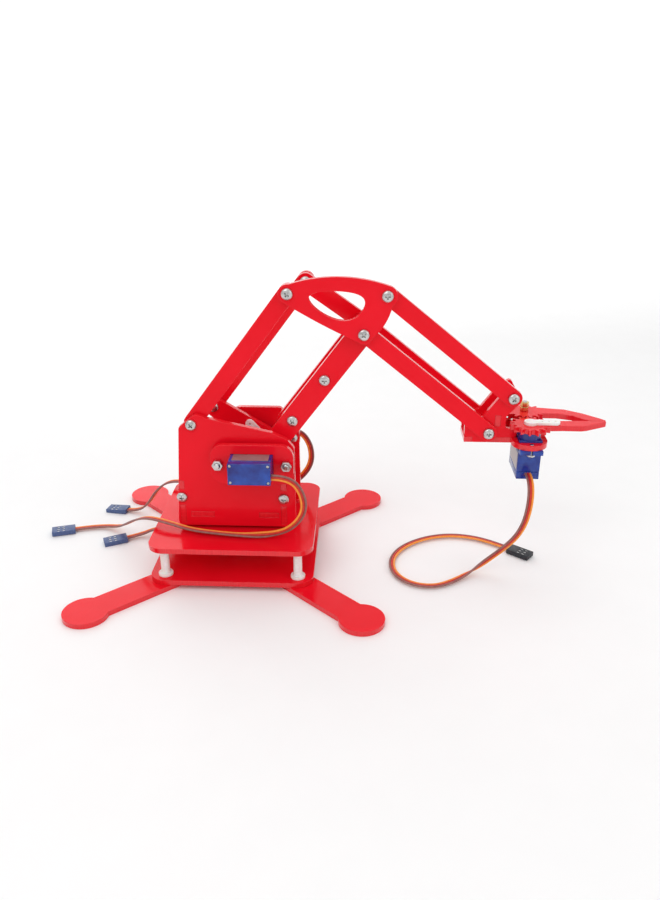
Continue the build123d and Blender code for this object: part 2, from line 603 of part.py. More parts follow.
with BuildPart() as claw_nuts:
    for low in (GRIP_PLATE_Z + SHEET, GRIP_PLATE_Z + SHEET + 2.85, GEAR_Z + SHEET + 0.1, GEAR_Z + SHEET + 2.75):
        with BuildSketch(Plane.XY.offset(low)):
            with Locations((GRIPPER_X, across(FAR_GEAR_DEPTH))):
                RegularPolygon(2.4, 6)
                Circle(M25, mode=Mode.SUBTRACT)
        extrude(amount=2.55)
finish(claw_nuts, "claw_nuts")

# ---------------------------------------------------------------- servo leads, lying as they fell

NEAR_LEAD = [(23.5, -34, 66), (33, -34, 66), (40, -33.5, 57), (41, -32.5, 44.5), (33, -31.5, 33.5),
             (20.5, -29.5, 28.6), (6, -29, 27.8), (-9, -27, 27.8), (-24, -24.5, 28.2), (-38, -20.5, 30.5),
             (-51, -13.5, 29.5), (-61.5, -3, 22), (-70.5, 9.5, 12.5), (-79, 20, 4.2), (-90, 24.5, 1.8),
             (-100, 22.5, 1.8), (-108, 19.8, 1.8)]
FAR_LEAD = [(23.5, 34, 66), (33, 34, 66), (40, 33.5, 57), (41, 32.5, 44.5), (33, 31.5, 33.5),
            (20.5, 30, 28.6), (6, 30.5, 27.8), (-9, 29, 27.8), (-24, 29.5, 28.2), (-37, 31, 31),
            (-50, 34.5, 29.5), (-59.5, 38.5, 20.5), (-66, 42.5, 9.5), (-73.5, 45.2, 2.4), (-82, 46.8, 1.8)]
BASE_LEAD = [(-5.5, 0, 9.5), (-19, 0, 9.5), (-33, 4, 9), (-46, 10.5, 9.8), (-56, 15, 6), (-64.5, 14.2, 2.2),
             (-72.5, 10.5, 1.8)]
GRIPPER_LEAD = [(161.2, -18.95, 64), (161.2, -27, 64), (161, -33, 58.5), (160.5, -34, 50), (159.5, -32, 40),
                (157, -27, 29), (152, -20, 17.5), (145, -15.5, 7.5), (135, -20.5, 2.4),
                (123.5, -30.5, 1.8), (112, -36.5, 1.8), (99, -33.5, 1.8), (90.5, -23, 1.8), (89.5, -8, 1.8),
                (96, 5.5, 1.8), (108, 15.8, 1.8), (122.5, 21.5, 1.8), (137, 21, 1.8), (150, 15.5, 1.8),
                (161, 7, 1.8)]


def lead_radii(route):
    """Each corner's arc: 0.45 of its shorter run, over the tangent of half its turn."""
    radii = []
    for before, corner, after in zip(route, route[1:], route[2:]):
        run_in, run_out = Vector(*corner) - Vector(*before), Vector(*after) - Vector(*corner)
        half_turn = radians(run_in.get_angle(run_out)) / 2
        radii.append(0.45 * min(run_in.length, run_out.length) / tan(half_turn))
    return radii


def lead(name, route):
    """A flat lead's envelope as a round tube, and the connector on its end."""
    radii = lead_radii(route)
    with BuildPart() as tube:
        with BuildLine() as path:
            FilletPolyline(*route, radius=radii)
        start = Vector(*route[1]) - Vector(*route[0])
        with BuildSketch(Plane(origin=route[0], z_dir=start)):
            Circle(LEAD_RADIUS)
        sweep()
    finish(tube, name)
    length = sum(edge.length for edge in path.line.edges())
    expected = pi * LEAD_RADIUS ** 2 * length
    print(f"{name}: {length:.0f} mm, radii {min(radii):.1f} to {max(radii):.0f} mm, "
          f"volume {tube.part.volume / expected:.4f} of section times length")
    heading = (Vector(*route[-1]) - Vector(*route[-2])).normalized()
    with BuildPart() as plug:
        with BuildSketch(Plane(origin=route[-1], x_dir=(-heading.Y, heading.X, 0), z_dir=heading)):
            Rectangle(CONNECTOR[1], CONNECTOR[2])
        extrude(amount=CONNECTOR[0])
    finish(plug, f"{name}_connector")


for lead_name, lead_route in (("near_lead", NEAR_LEAD), ("far_lead", FAR_LEAD), ("base_lead", BASE_LEAD),
                              ("gripper_lead", GRIPPER_LEAD)):
    lead(lead_name, lead_route)
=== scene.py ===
import json
from math import cos, pi, radians, sin

import bmesh
import bpy
from mathutils import Matrix, Vector


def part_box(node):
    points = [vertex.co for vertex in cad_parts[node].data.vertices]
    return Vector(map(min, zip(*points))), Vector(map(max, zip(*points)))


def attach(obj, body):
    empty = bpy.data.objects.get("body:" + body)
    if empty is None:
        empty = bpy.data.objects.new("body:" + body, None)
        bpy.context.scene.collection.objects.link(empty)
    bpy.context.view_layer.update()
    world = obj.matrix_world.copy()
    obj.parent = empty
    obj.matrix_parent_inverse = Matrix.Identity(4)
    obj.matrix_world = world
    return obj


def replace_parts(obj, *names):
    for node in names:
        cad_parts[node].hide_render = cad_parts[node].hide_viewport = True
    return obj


# Looks of a desktop robot arm in red acrylic sheet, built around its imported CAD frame, in metres.

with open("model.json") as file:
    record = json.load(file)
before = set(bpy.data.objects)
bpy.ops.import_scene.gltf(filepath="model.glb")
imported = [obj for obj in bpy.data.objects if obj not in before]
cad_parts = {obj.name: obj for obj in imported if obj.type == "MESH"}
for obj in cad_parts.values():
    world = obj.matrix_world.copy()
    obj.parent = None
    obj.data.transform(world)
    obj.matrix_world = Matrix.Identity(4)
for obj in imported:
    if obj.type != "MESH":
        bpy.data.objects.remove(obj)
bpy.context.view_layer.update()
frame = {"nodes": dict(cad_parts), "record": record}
NODES = frame["nodes"]
BODY_OF = {node: body for body, nodes in frame["record"]["behaviour"]["bodies"].items() for node in nodes}
SLOT_OF = {row["node"]: row["material_slot"] for row in frame["record"]["subparts"]}
MM = 0.001
NOISE_LOW, NOISE_HIGH = 0.3, 0.7     # nearly all of a noise texture's values lie between these
BEVEL_ANGLE = radians(50)            # edges sharper than this are softened


# ---------------------------------------------------------------- camera

def make_camera():
    """Looks down on the arm from in front of it."""
    data = bpy.data.cameras.new("camera")
    data.sensor_width = 36
    data.lens = 31.8
    data.clip_start, data.clip_end = 0.01, 20
    camera = bpy.data.objects.new("camera", data)
    camera.location = (0.0706, -0.4123, 0.2479)
    camera.rotation_euler = (radians(66.4), 0, radians(2.4))
    bpy.context.scene.collection.objects.link(camera)
    bpy.context.scene.camera = camera


# ---------------------------------------------------------------- materials

def principled(name, **sockets):
    """A new material and its shader, with constant values set on the shader's own sockets."""
    made = bpy.data.materials.new(name)
    made.use_nodes = True
    shader = made.node_tree.nodes["Principled BSDF"]
    for socket, value in sockets.items():
        shader.inputs[socket.replace("_", " ")].default_value = value
    return made, shader


def texture(made, kind, stretch=(1, 1, 1), **values):
    """A procedural texture in the object's own coordinates, stretched by axis."""
    tree = made.node_tree
    coordinates = tree.nodes.new("ShaderNodeTexCoord")
    mapping = tree.nodes.new("ShaderNodeMapping")
    mapping.inputs["Scale"].default_value = stretch
    node = tree.nodes.new(kind)
    for key, value in values.items():
        node.inputs[key].default_value = value
    tree.links.new(coordinates.outputs["Object"], mapping.inputs["Vector"])
    tree.links.new(mapping.outputs["Vector"], node.inputs["Vector"])
    return node


def spread(made, source, target, low, high):
    """Drives a number socket with a texture, from low to high."""
    tree = made.node_tree
    ramp = tree.nodes.new("ShaderNodeMapRange")
    for key, value in (("From Min", NOISE_LOW), ("From Max", NOISE_HIGH), ("To Min", low), ("To Max", high)):
        ramp.inputs[key].default_value = value
    tree.links.new(source, ramp.inputs["Value"])
    tree.links.new(ramp.outputs["Result"], target)


def tint(made, source, target, dark, light):
    """Drives a colour socket with a texture, from dark to light."""
    tree = made.node_tree
    ramp = tree.nodes.new("ShaderNodeValToRGB")
    for element, position, colour in zip(ramp.color_ramp.elements, (NOISE_LOW, NOISE_HIGH), (dark, light)):
        element.position, element.color = position, (*colour, 1)
    tree.links.new(source, ramp.inputs["Fac"])
    tree.links.new(ramp.outputs["Color"], target)


def bump(made, shader, source, strength, distance):
    """Tilts the shading with a texture, which leaves the mesh as it is."""
    tree = made.node_tree
    node = tree.nodes.new("ShaderNodeBump")
    node.inputs["Strength"].default_value = strength
    node.inputs["Distance"].default_value = distance
    tree.links.new(source, node.inputs["Height"])
    tree.links.new(node.outputs["Normal"], shader.inputs["Normal"])


def acrylic_face():
    """Polished cast sheet: nearly even red, with faint smears and fine scuffs in its gloss."""
    made, shader = principled("acrylic_face", IOR=1.49, Specular_IOR_Level=0.16, Coat_Weight=0.0)
    cloud = texture(made, "ShaderNodeTexNoise", Scale=28, Detail=3)
    tint(made, cloud.outputs["Fac"], shader.inputs["Base Color"], (0.80, 0.004, 0.014), (0.88, 0.006, 0.019))
    smear = texture(made, "ShaderNodeTexNoise", (1, 2.5, 1.4), Scale=55, Detail=6, Roughness=0.65)
    spread(made, smear.outputs["Fac"], shader.inputs["Roughness"], 0.10, 0.24)
    scuff = texture(made, "ShaderNodeTexNoise", (900, 900, 900), Scale=1, Detail=2)
    bump(made, shader, scuff.outputs["Fac"], 0.04, 0.00005)
    return made


def acrylic_edge(axis):
    """Laser-cut edge: deeper red, with fine ridges along the beam, which ran along that axis."""
    made, shader = principled("acrylic_edge_" + "xyz"[axis], IOR=1.49, Coat_Weight=0.25, Coat_Roughness=0.08)
    stretch = [4200.0] * 3
    stretch[axis] = 60.0
    ridge = texture(made, "ShaderNodeTexNoise", stretch, Scale=1, Detail=2)
    tint(made, ridge.outputs["Fac"], shader.inputs["Base Color"], (0.72, 0.005, 0.014), (0.84, 0.014, 0.024))
    spread(made, ridge.outputs["Fac"], shader.inputs["Roughness"], 0.10, 0.22)
    bump(made, shader, ridge.outputs["Fac"], 0.10, 0.00004)
    return made


def nylon():
    made, shader = principled("nylon_white", IOR=1.53, Subsurface_Weight=0.15, Subsurface_Scale=0.002)
    grain = texture(made, "ShaderNodeTexNoise", Scale=700, Detail=4)
    tint(made, grain.outputs["Fac"], shader.inputs["Base Color"], (0.80, 0.80, 0.78), (0.90, 0.90, 0.88))
    spread(made, grain.outputs["Fac"], shader.inputs["Roughness"], 0.32, 0.5)
    bump(made, shader, grain.outputs["Fac"], 0.15, 0.00005)
    return made


def zinc(name, dark, light, low, high):
    """Plated metal with patchy gloss and faint turning marks."""
    made, shader = principled(name, Metallic=1.0)
    patch = texture(made, "ShaderNodeTexNoise", Scale=420, Detail=5, Roughness=0.6)
    tint(made, patch.outputs["Fac"], shader.inputs["Base Color"], dark, light)
    spread(made, patch.outputs["Fac"], shader.inputs["Roughness"], low, high)
    marks = texture(made, "ShaderNodeTexNoise", (4000, 4000, 4000), Scale=1, Detail=1)
    bump(made, shader, marks.outputs["Fac"], 0.10, 0.00003)
    return made


def servo_blue():
    """Tinted clear case, a little cloudy, so that the works show through as darker shapes."""
    made, shader = principled("servo_blue", IOR=1.5, Transmission_Weight=0.12,
                              Coat_Weight=0.1, Coat_Roughness=0.05)
    cloud = texture(made, "ShaderNodeTexNoise", Scale=150, Detail=4)
    tint(made, cloud.outputs["Fac"], shader.inputs["Base Color"], (0.006, 0.012, 0.19), (0.012, 0.075, 0.44))
    spread(made, cloud.outputs["Fac"], shader.inputs["Roughness"], 0.08, 0.2)
    grain = texture(made, "ShaderNodeTexNoise", Scale=2500, Detail=2)
    bump(made, shader, grain.outputs["Fac"], 0.05, 0.00003)
    return made


def plain_plastic(name, dark, light, rough=(0.3, 0.5), grain_scale=900, **sockets):
    """Moulded plastic or insulation with a fine grain."""
    made, shader = principled(name, **sockets)
    grain = texture(made, "ShaderNodeTexNoise", Scale=grain_scale, Detail=4)
    tint(made, grain.outputs["Fac"], shader.inputs["Base Color"], dark, light)
    spread(made, grain.outputs["Fac"], shader.inputs["Roughness"], *rough)
    bump(made, shader, grain.outputs["Fac"], 0.12, 0.00004)
    return made


def label_foil():
    """Blank brushed foil sticker along the long sides of a servo."""
    made, shader = principled("label_foil", Metallic=0.55)
    brush = texture(made, "ShaderNodeTexNoise", (60, 60, 2600), Scale=1, Detail=3)
    tint(made, brush.outputs["Fac"], shader.inputs["Base Color"], (0.30, 0.27, 0.27), (0.46, 0.42, 0.42))
    spread(made, brush.outputs["Fac"], shader.inputs["Roughness"], 0.28, 0.42)
    return made


FACE = acrylic_face()
EDGES = [acrylic_edge(axis) for axis in range(3)]
NYLON = nylon()
STEEL = zinc("zinc_plate", (0.46, 0.455, 0.45), (0.72, 0.71, 0.70), 0.22, 0.36)
BRASS = zinc("brass_turned", (0.62, 0.42, 0.14), (0.85, 0.62, 0.28), 0.16, 0.32)
CASE = servo_blue()
FOIL = label_foil()
MOTOR = zinc("motor_can", (0.50, 0.49, 0.47), (0.72, 0.71, 0.68), 0.25, 0.4)
BOARD = plain_plastic("circuit_board", (0.01, 0.03, 0.10), (0.03, 0.09, 0.22))
SLATE = plain_plastic("connector_slate", (0.050, 0.085, 0.21), (0.085, 0.13, 0.29), Specular_IOR_Level=0.4)
BLACK = plain_plastic("connector_black", (0.012, 0.013, 0.018), (0.028, 0.03, 0.038), Specular_IOR_Level=0.4)
WIRES = [plain_plastic("wire_brown", (0.24, 0.085, 0.075), (0.34, 0.14, 0.12), (0.35, 0.5), 500),
         plain_plastic("wire_red", (0.56, 0.016, 0.012), (0.70, 0.035, 0.022), (0.35, 0.5), 500),
         plain_plastic("wire_orange", (0.86, 0.25, 0.02), (0.97, 0.36, 0.045), (0.35, 0.5), 500)]


# ---------------------------------------------------------------- mesh helpers

def place(name, mesh, body, slot, *materials):
    """A finished piece: named, given its materials, riding on its body."""
    piece = bpy.data.objects.new(name, mesh)
    bpy.context.scene.collection.objects.link(piece)
    for made in materials:
        mesh.materials.append(made)
    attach(piece, body)
    return piece


def smooth(mesh, crease):
    """Smooth shading, apart from edges sharper than crease degrees."""
    mesh.shade_smooth()
    mesh.set_sharp_from_angle(angle=radians(crease))


def weigh_normals(piece):
    """Keeps the large flat faces flat beside their small bevels."""
    weighted = piece.modifiers.new("normals", "WEIGHTED_NORMAL")
    weighted.weight = 100
    weighted.keep_sharp = True


def to_mesh(bm, name):
    """Turns bm into a mesh and frees it."""
    mesh = bpy.data.meshes.new(name)
    bm.to_mesh(mesh)
    bm.free()
    return mesh


def cleaned(node):
    """The CAD node's mesh with its seams closed and its flat faces merged."""
    bm = bmesh.new()
    bm.from_mesh(NODES[node].data)
    bmesh.ops.remove_doubles(bm, verts=bm.verts, dist=2e-6)
    bmesh.ops.dissolve_limit(bm, angle_limit=radians(0.5), verts=bm.verts, edges=bm.edges)
    return bm


def bevelled(bm, width, segments=2):
    """Softens the sharp edges of a closed mesh."""
    rims = [e for e in bm.edges if len(e.link_faces) == 2 and e.calc_face_angle() > BEVEL_ANGLE]
    bmesh.ops.bevel(bm, geom=rims, offset=width, segments=segments, profile=0.5, affect="EDGES")


def skin(node, width, *materials):
    """Stands for a CAD node with a copy of it whose edges are softened."""
    bm = cleaned(node)
    bevelled(bm, width)
    mesh = to_mesh(bm, node + "_skin")
    smooth(mesh, 50)
    piece = place(node + "_piece", mesh, BODY_OF[node], SLOT_OF[node], *materials)
    weigh_normals(piece)
    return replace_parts(piece, node)


def sheet_piece(node):
    """An acrylic plate: polished faces, and laser-cut edges with a hairline bevel."""
    low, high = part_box(node)
    size = high - low
    axis = min(range(3), key=lambda i: size[i])
    piece = skin(node, 0.14 * MM, FACE, EDGES[axis])
    for polygon in piece.data.polygons:
        polygon.material_index = 0 if abs(polygon.normal[axis]) > 0.99 else 1
    return piece


def add(bm, mesh, matrix, index=None):
    """Adds a mesh to bm, moved by matrix, with all its faces on one material if index is given."""
    verts, faces = len(bm.verts), len(bm.faces)
    bm.from_mesh(mesh)
    bm.verts.ensure_lookup_table()
    bm.faces.ensure_lookup_table()
    bmesh.ops.transform(bm, matrix=matrix, verts=bm.verts[verts:])
    if index is not None:
        for face in bm.faces[faces:]:
            face.material_index = index


def lathe(profile, steps):
    """A closed turned shape about Z from (radius, height) points, the first and last on the axis."""
    bm = bmesh.new()
    rings = []
    for radius, height in profile:
        if radius < 1e-9:
            rings.append([bm.verts.new((0, 0, height))])
        else:
            rings.append([bm.verts.new((radius * cos(2 * pi * i / steps), radius * sin(2 * pi * i / steps), height))
                          for i in range(steps)])
    for lower, upper in zip(rings, rings[1:]):
        for i in range(steps):
            j = (i + 1) % steps
            corners = [lower[i % len(lower)], lower[j % len(lower)], upper[j % len(upper)], upper[i % len(upper)]]
            bm.faces.new(list(dict.fromkeys(corners)))
    bmesh.ops.recalc_face_normals(bm, faces=bm.faces)
    return bm


def block(size, middle, width=0.0, segments=2):
    """A box with rounded edges."""
    bm = bmesh.new()
    bmesh.ops.create_cube(bm, size=1.0)
    bmesh.ops.scale(bm, vec=size, verts=bm.verts)
    if width:
        bevelled(bm, width, segments)
    bmesh.ops.translate(bm, vec=middle, verts=bm.verts)
    return bm


def cut(mesh, tools):
    """mesh with the tool meshes cut out of it."""
    target = bpy.data.objects.new("cut_target", mesh)
    bpy.context.scene.collection.objects.link(target)
    made = []
    for tool in tools:
        cutter = bpy.data.objects.new("cutter", tool)
        bpy.context.scene.collection.objects.link(cutter)
        made.append(cutter)
        modifier = target.modifiers.new("cut", "BOOLEAN")
        modifier.operation, modifier.solver, modifier.object = "DIFFERENCE", "EXACT", cutter
    depsgraph = bpy.context.evaluated_depsgraph_get()
    result = bpy.data.meshes.new_from_object(target.evaluated_get(depsgraph))
    for obj in made + [target]:
        bpy.data.objects.remove(obj)
    return result


# ---------------------------------------------------------------- servo leads

NEAR_LEAD = [(23.5, -34, 66), (33, -34, 66), (40, -33.5, 57), (41, -32.5, 44.5), (33, -31.5, 33.5),
             (20.5, -29.5, 28.6), (6, -29, 27.8), (-9, -27, 27.8), (-24, -24.5, 28.2), (-38, -20.5, 30.5),
             (-51, -13.5, 29.5), (-61.5, -3, 22), (-70.5, 9.5, 12.5), (-79, 20, 4.2), (-90, 24.5, 1.8),
             (-100, 22.5, 1.8), (-108, 19.8, 1.8)]
FAR_LEAD = [(23.5, 34, 66), (33, 34, 66), (40, 33.5, 57), (41, 32.5, 44.5), (33, 31.5, 33.5),
            (20.5, 30, 28.6), (6, 30.5, 27.8), (-9, 29, 27.8), (-24, 29.5, 28.2), (-37, 31, 31),
            (-50, 34.5, 29.5), (-59.5, 38.5, 20.5), (-66, 42.5, 9.5), (-73.5, 45.2, 2.4), (-82, 46.8, 1.8)]
BASE_LEAD = [(-5.5, 0, 9.5), (-19, 0, 9.5), (-33, 4, 9), (-46, 10.5, 9.8), (-56, 15, 6), (-64.5, 14.2, 2.2),
             (-72.5, 10.5, 1.8)]
GRIPPER_LEAD = [(161.2, -18.95, 64), (161.2, -27, 64), (161, -33, 58.5), (160.5, -34, 50), (159.5, -32, 40),
                (157, -27, 29), (152, -20, 17.5), (145, -15.5, 7.5), (135, -20.5, 2.4),
                (123.5, -30.5, 1.8), (112, -36.5, 1.8), (99, -33.5, 1.8), (90.5, -23, 1.8), (89.5, -8, 1.8),
                (96, 5.5, 1.8), (108, 15.8, 1.8), (122.5, 21.5, 1.8), (137, 21, 1.8), (150, 15.5, 1.8),
                (161, 7, 1.8)]
WIRE_PITCH = 1.2 * MM
WIRE_RADIUS = 0.62 * MM
WIRE_SIDES = 10
CONNECTOR = (14.0 * MM, 7.8 * MM, 2.8 * MM)


def centreline(name, route):
    """Points along a smooth spline that has the route as its control points."""
    curve = bpy.data.curves.new(name + "_line", "CURVE")
    curve.dimensions = "3D"
    curve.resolution_u = 10
    spline = curve.splines.new("NURBS")
    spline.points.add(len(route) - 1)
    for control, corner in zip(spline.points, route):
        control.co = (*[value * MM for value in corner], 1)
    spline.order_u = 3
    spline.use_endpoint_u = True
    holder = bpy.data.objects.new(name + "_line", curve)
    bpy.context.scene.collection.objects.link(holder)
    mesh = bpy.data.meshes.new_from_object(holder)
    points = [vertex.co.copy() for vertex in mesh.vertices]
    bpy.data.objects.remove(holder)
    bpy.data.meshes.remove(mesh)
    return points


def side_vectors(points, first_side, flat_from, flat_to, settle):
    """The ribbon's width direction at each point: carried along without twist, and turned level between
    the two distances, where it settles on its flat side, towards settle if that is given."""
    sides, travelled, side = [], 0.0, Vector(first_side)
    for i, point in enumerate(points):
        ahead = points[min(i + 1, len(points) - 1)] - points[max(i - 1, 0)]
        tangent = ahead.normalized()
        side = (side - tangent * side.dot(tangent)).normalized()
        travelled += (point - points[i - 1]).length if i else 0.0
        level = Vector((0, 0, 1)).cross(tangent)
        if level.length > 0.2:
            level.normalize()
            if level.dot(settle or side) < 0:
                level.negate()
            settle = None if travelled > flat_to else settle     # from there on the ribbon just carries on
            share = min(max((travelled - flat_from) / (flat_to - flat_from), 0.0), 1.0)
            share = share * share * (3 - 2 * share)
            side = side.lerp(level, share * 0.35 if share < 1 else 1.0).normalized()
        sides.append(side.copy())
    return sides


def ribbon(name, route, first_side, flat_from, flat_to, connector_material, settle=None):
    """Three insulated wires side by side, and the connector on their end. Distances are in millimetres."""
    points = centreline(name, route)
    sides = side_vectors(points, first_side, flat_from * MM, flat_to * MM, settle)
    bm = bmesh.new()
    for wire in (-1, 0, 1):
        rings = []
        for i, (point, side) in enumerate(zip(points, sides)):
            tangent = (points[min(i + 1, len(points) - 1)] - points[max(i - 1, 0)]).normalized()
            up = tangent.cross(side)
            centre = point + side * wire * WIRE_PITCH
            rings.append([bm.verts.new(centre + (side * cos(turn) + up * sin(turn)) * WIRE_RADIUS)
                          for turn in (2 * pi * k / WIRE_SIDES for k in range(WIRE_SIDES))])
        for before, after in zip(rings, rings[1:]):
            for k in range(WIRE_SIDES):
                m = (k + 1) % WIRE_SIDES
                bm.faces.new((before[k], before[m], after[m], after[k])).material_index = wire + 1
        for ring in (rings[0][::-1], rings[-1]):
            bm.faces.new(ring).material_index = wire + 1
    bmesh.ops.recalc_face_normals(bm, faces=bm.faces)
    mesh = to_mesh(bm, name + "_ribbon")
    smooth(mesh, 60)
    piece = place(name + "_ribbon", mesh, BODY_OF[name], "lead", *WIRES)
    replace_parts(piece, name)
    plug = connector(name, route, connector_material)
    return piece


def connector(name, route, made):
    """Three-way crimp housing: contact windows on top and open front ends."""
    long, wide, thick = CONNECTOR
    body = to_mesh(block((long, wide, thick), (long / 2, 0, 0), 0.25 * MM), "housing")
    tools = []
    for row in (-1, 0, 1):
        for middle in (0.50, 0.72):
            tools.append(to_mesh(block((1.7 * MM, 1.25 * MM, 1.4 * MM), (long * middle, row * 2.45 * MM, thick / 2)),
                                 "window"))
        tools.append(to_mesh(block((2.4 * MM, 0.9 * MM, 0.9 * MM), (long, row * 2.45 * MM, 0)), "socket"))
    housing = cut(body, tools)
    bm = bmesh.new()
    add(bm, housing, Matrix.Identity(4), 0)
    for row in (-1, 0, 1):
        for middle in (0.50, 0.72):
            add(bm, to_mesh(block((1.5 * MM, 1.05 * MM, 0.5 * MM), (long * middle, row * 2.45 * MM, 0.95 * MM),
                                  0.12 * MM), "contact"), Matrix.Identity(4), 1)
    mesh = to_mesh(bm, name + "_plug")
    smooth(mesh, 40)
    start, end = Vector(route[-1]) * MM, Vector(route[-2]) * MM
    heading = (start - end).normalized()
    side = Vector((-heading.y, heading.x, 0)).normalized()
    up = heading.cross(side)
    matrix = Matrix((heading, side, up)).transposed().to_4x4()
    matrix.translation = start
    mesh.transform(matrix)
    piece = place(name + "_plug", mesh, BODY_OF[name + "_connector"], "connector", made, STEEL)
    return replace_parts(piece, name + "_connector")


# ---------------------------------------------------------------- screws and nuts

def islands(node):
    """The separate solids of a CAD node, each as its list of points."""
    bm = cleaned(node)
    bm.verts.ensure_lookup_table()
    seen, groups = set(), []
    for first in bm.verts:
        if first.index in seen:
            continue
        stack, group = [first], []
        seen.add(first.index)
        while stack:
            vert = stack.pop()
            group.append(vert.co.copy())
            for edge in vert.link_edges:
                other = edge.other_vert(vert)
                if other.index not in seen:
                    seen.add(other.index)
                    stack.append(other)
        groups.append(group)
    bm.free()
    return groups


def pan_head():
    """Pan head of unit radius and height, with a cross recess."""
    bm = lathe([(0, 0), (0.99, 0), (1.0, 0.06), (1.0, 0.34), (0.965, 0.55), (0.88, 0.75), (0.72, 0.90),
                (0.48, 0.975), (0.2, 1.0), (0, 1.0)], 40)
    wings = []
    for turn in (0, pi / 2):
        wing = block((1.3, 0.30, 1.6), (0, 0, 1.0))
        for vert in wing.verts:
            if vert.co.z < 0.9:
                vert.co.x *= 0.4
                vert.co.y *= 0.6
        bmesh.ops.rotate(wing, matrix=Matrix.Rotation(turn, 3, "Z"), verts=wing.verts)
        wings.append(to_mesh(wing, "wing"))
    return cut(to_mesh(bm, "pan_head"), wings)


def thread(radius, length, pitch):
    """Threaded shank from 0 down to -length, as close rounded ridges."""
    profile, height = [(0, 0), (radius, 0)], -pitch
    while height > -length + pitch:
        profile += [(radius, height), (radius * 0.9, height - pitch * 0.5)]
        height -= pitch
    return to_mesh(lathe(profile + [(radius, -length + pitch * 0.6), (radius * 0.8, -length), (0, -length)], 20),
                   "thread")


PAN_HEAD = pan_head()


def screw_matrix(points):
    """Frame of one CAD screw, with z out of the head, its shank and head radii, and the head's height."""
    low = Vector(min(p[i] for p in points) for i in range(3))
    high = Vector(max(p[i] for p in points) for i in range(3))
    size, middle = high - low, (low + high) / 2
    spans = sorted((abs(size[i] - size[j]), k) for i, j, k in ((0, 1, 2), (1, 2, 0), (2, 0, 1)))
    axis = spans[0][1]
    others = [i for i in range(3) if i != axis]

    def reach(end):
        return max((Vector((p[others[0]], p[others[1]])) - Vector((middle[others[0]], middle[others[1]]))).length
                   for p in points if abs(p[axis] - end) < 0.05 * MM)

    ends = {reach(low[axis]): -1, reach(high[axis]): 1}
    out = ends[max(ends)]
    head_radius, radius = max(ends), min(ends)
    top = high[axis] if out > 0 else low[axis]
    wide = [abs(p[axis] - top) for p in points
            if (Vector((p[others[0]], p[others[1]])) - Vector((middle[others[0]], middle[others[1]]))).length
            > head_radius * 0.95]
    z = Vector([out if i == axis else 0 for i in range(3)])
    matrix = z.to_track_quat("Z", "Y").to_matrix().to_4x4()
    seat = middle.copy()
    seat[axis] = top - out * max(wide)
    matrix.translation = seat
    return matrix, radius, head_radius, max(wide), size[axis]


def screw_piece(node, made):
    """Stands for a CAD node of screws with real heads, recesses and threads."""
    bm = bmesh.new()
    for number, points in enumerate(islands(node)):
        matrix, radius, head_radius, head_height, length = screw_matrix(points)
        turned = matrix @ Matrix.Rotation(0.7 + number * 0.9, 4, "Z")
        if head_radius > radius * 1.2:
            add(bm, PAN_HEAD, turned @ Matrix.Diagonal((head_radius, head_radius, head_height, 1)))
            add(bm, thread(radius, length - head_height, 0.5 * MM), matrix)
        else:
            add(bm, thread(radius, length, 0.5 * MM), matrix @ Matrix.Translation((0, 0, head_height)))
    mesh = to_mesh(bm, node + "_threads")
    smooth(mesh, 32)
    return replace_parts(place(node + "_piece", mesh, BODY_OF[node], SLOT_OF[node], made), node)


# ---------------------------------------------------------------- servos

BODY_LONG, BODY_SHORT, BODY_BELOW = 22.8 * MM, 12.2 * MM, 18.4 * MM
SHELLS = ((-18.4, -14.3), (-14.1, 0.25), (0.43, 4.3))         # bottom cover, middle and top, by height in mm
CORE = (-17.9, 3.8)                                           # fills the case behind the joints, by height in mm
CASE_MIDDLE = -5.9 * MM
EAR_LONG, EAR = 32.2 * MM, 2.5 * MM
EAR_HOLE, EAR_HOLE_RADIUS, EAR_SLOT = 13.9 * MM, 1.27 * MM, 1.1 * MM
TOWERS = ((0, 5.9), (-5.9, 2.7))                              # place and radius in mm
TOWER_FOOT, TOWER_TOP, TOWER_ROUND = 4.0 * MM, 8.3 * MM, 0.25 * MM
WELL_RADIUS, WELL_DEPTH = 0.95 * MM, 1.1 * MM
SCREW_X, SCREW_Y = 10.1 * MM, 4.8 * MM


def mount_matrix(origin, x_axis, z_axis):
    """A servo's own frame: origin on its spline axis at the ears' top face, z along the shaft."""
    x, z = Vector(x_axis), Vector(z_axis)
    matrix = Matrix((x, z.cross(x), z)).transposed().to_4x4()
    matrix.translation = Vector(origin) * MM
    return matrix


MOUNTS = {"near": mount_matrix((18, -18.5, 68.5), (1, 0, 0), (0, 1, 0)),
          "far": mount_matrix((18, 18.5, 68.5), (1, 0, 0), (0, -1, 0)),
          "base": mount_matrix((0, 0, 23), (-1, 0, 0), (0, 0, 1)),
          "gripper": mount_matrix((161.2, -13.45, 79), (0, -1, 0), (0, 0, 1))}


def case_block(low, high, inset=0.0, width=0.3):
    """A length of the case between two heights, with rounded edges."""
    return to_mesh(block((BODY_LONG - inset * MM, BODY_SHORT - inset * MM, (high - low) * MM),
                         (CASE_MIDDLE, 0, (low + high) / 2 * MM), width * MM, 3), "case_block")


def pin(radius, low, high, x, y, steps, name):
    """A plain upright cylinder at x, y, as a mesh."""
    bm = lathe([(0, low), (radius, low), (radius, high), (0, high)], steps)
    bmesh.ops.translate(bm, vec=(x, y, 0), verts=bm.verts)
    return to_mesh(bm, name)


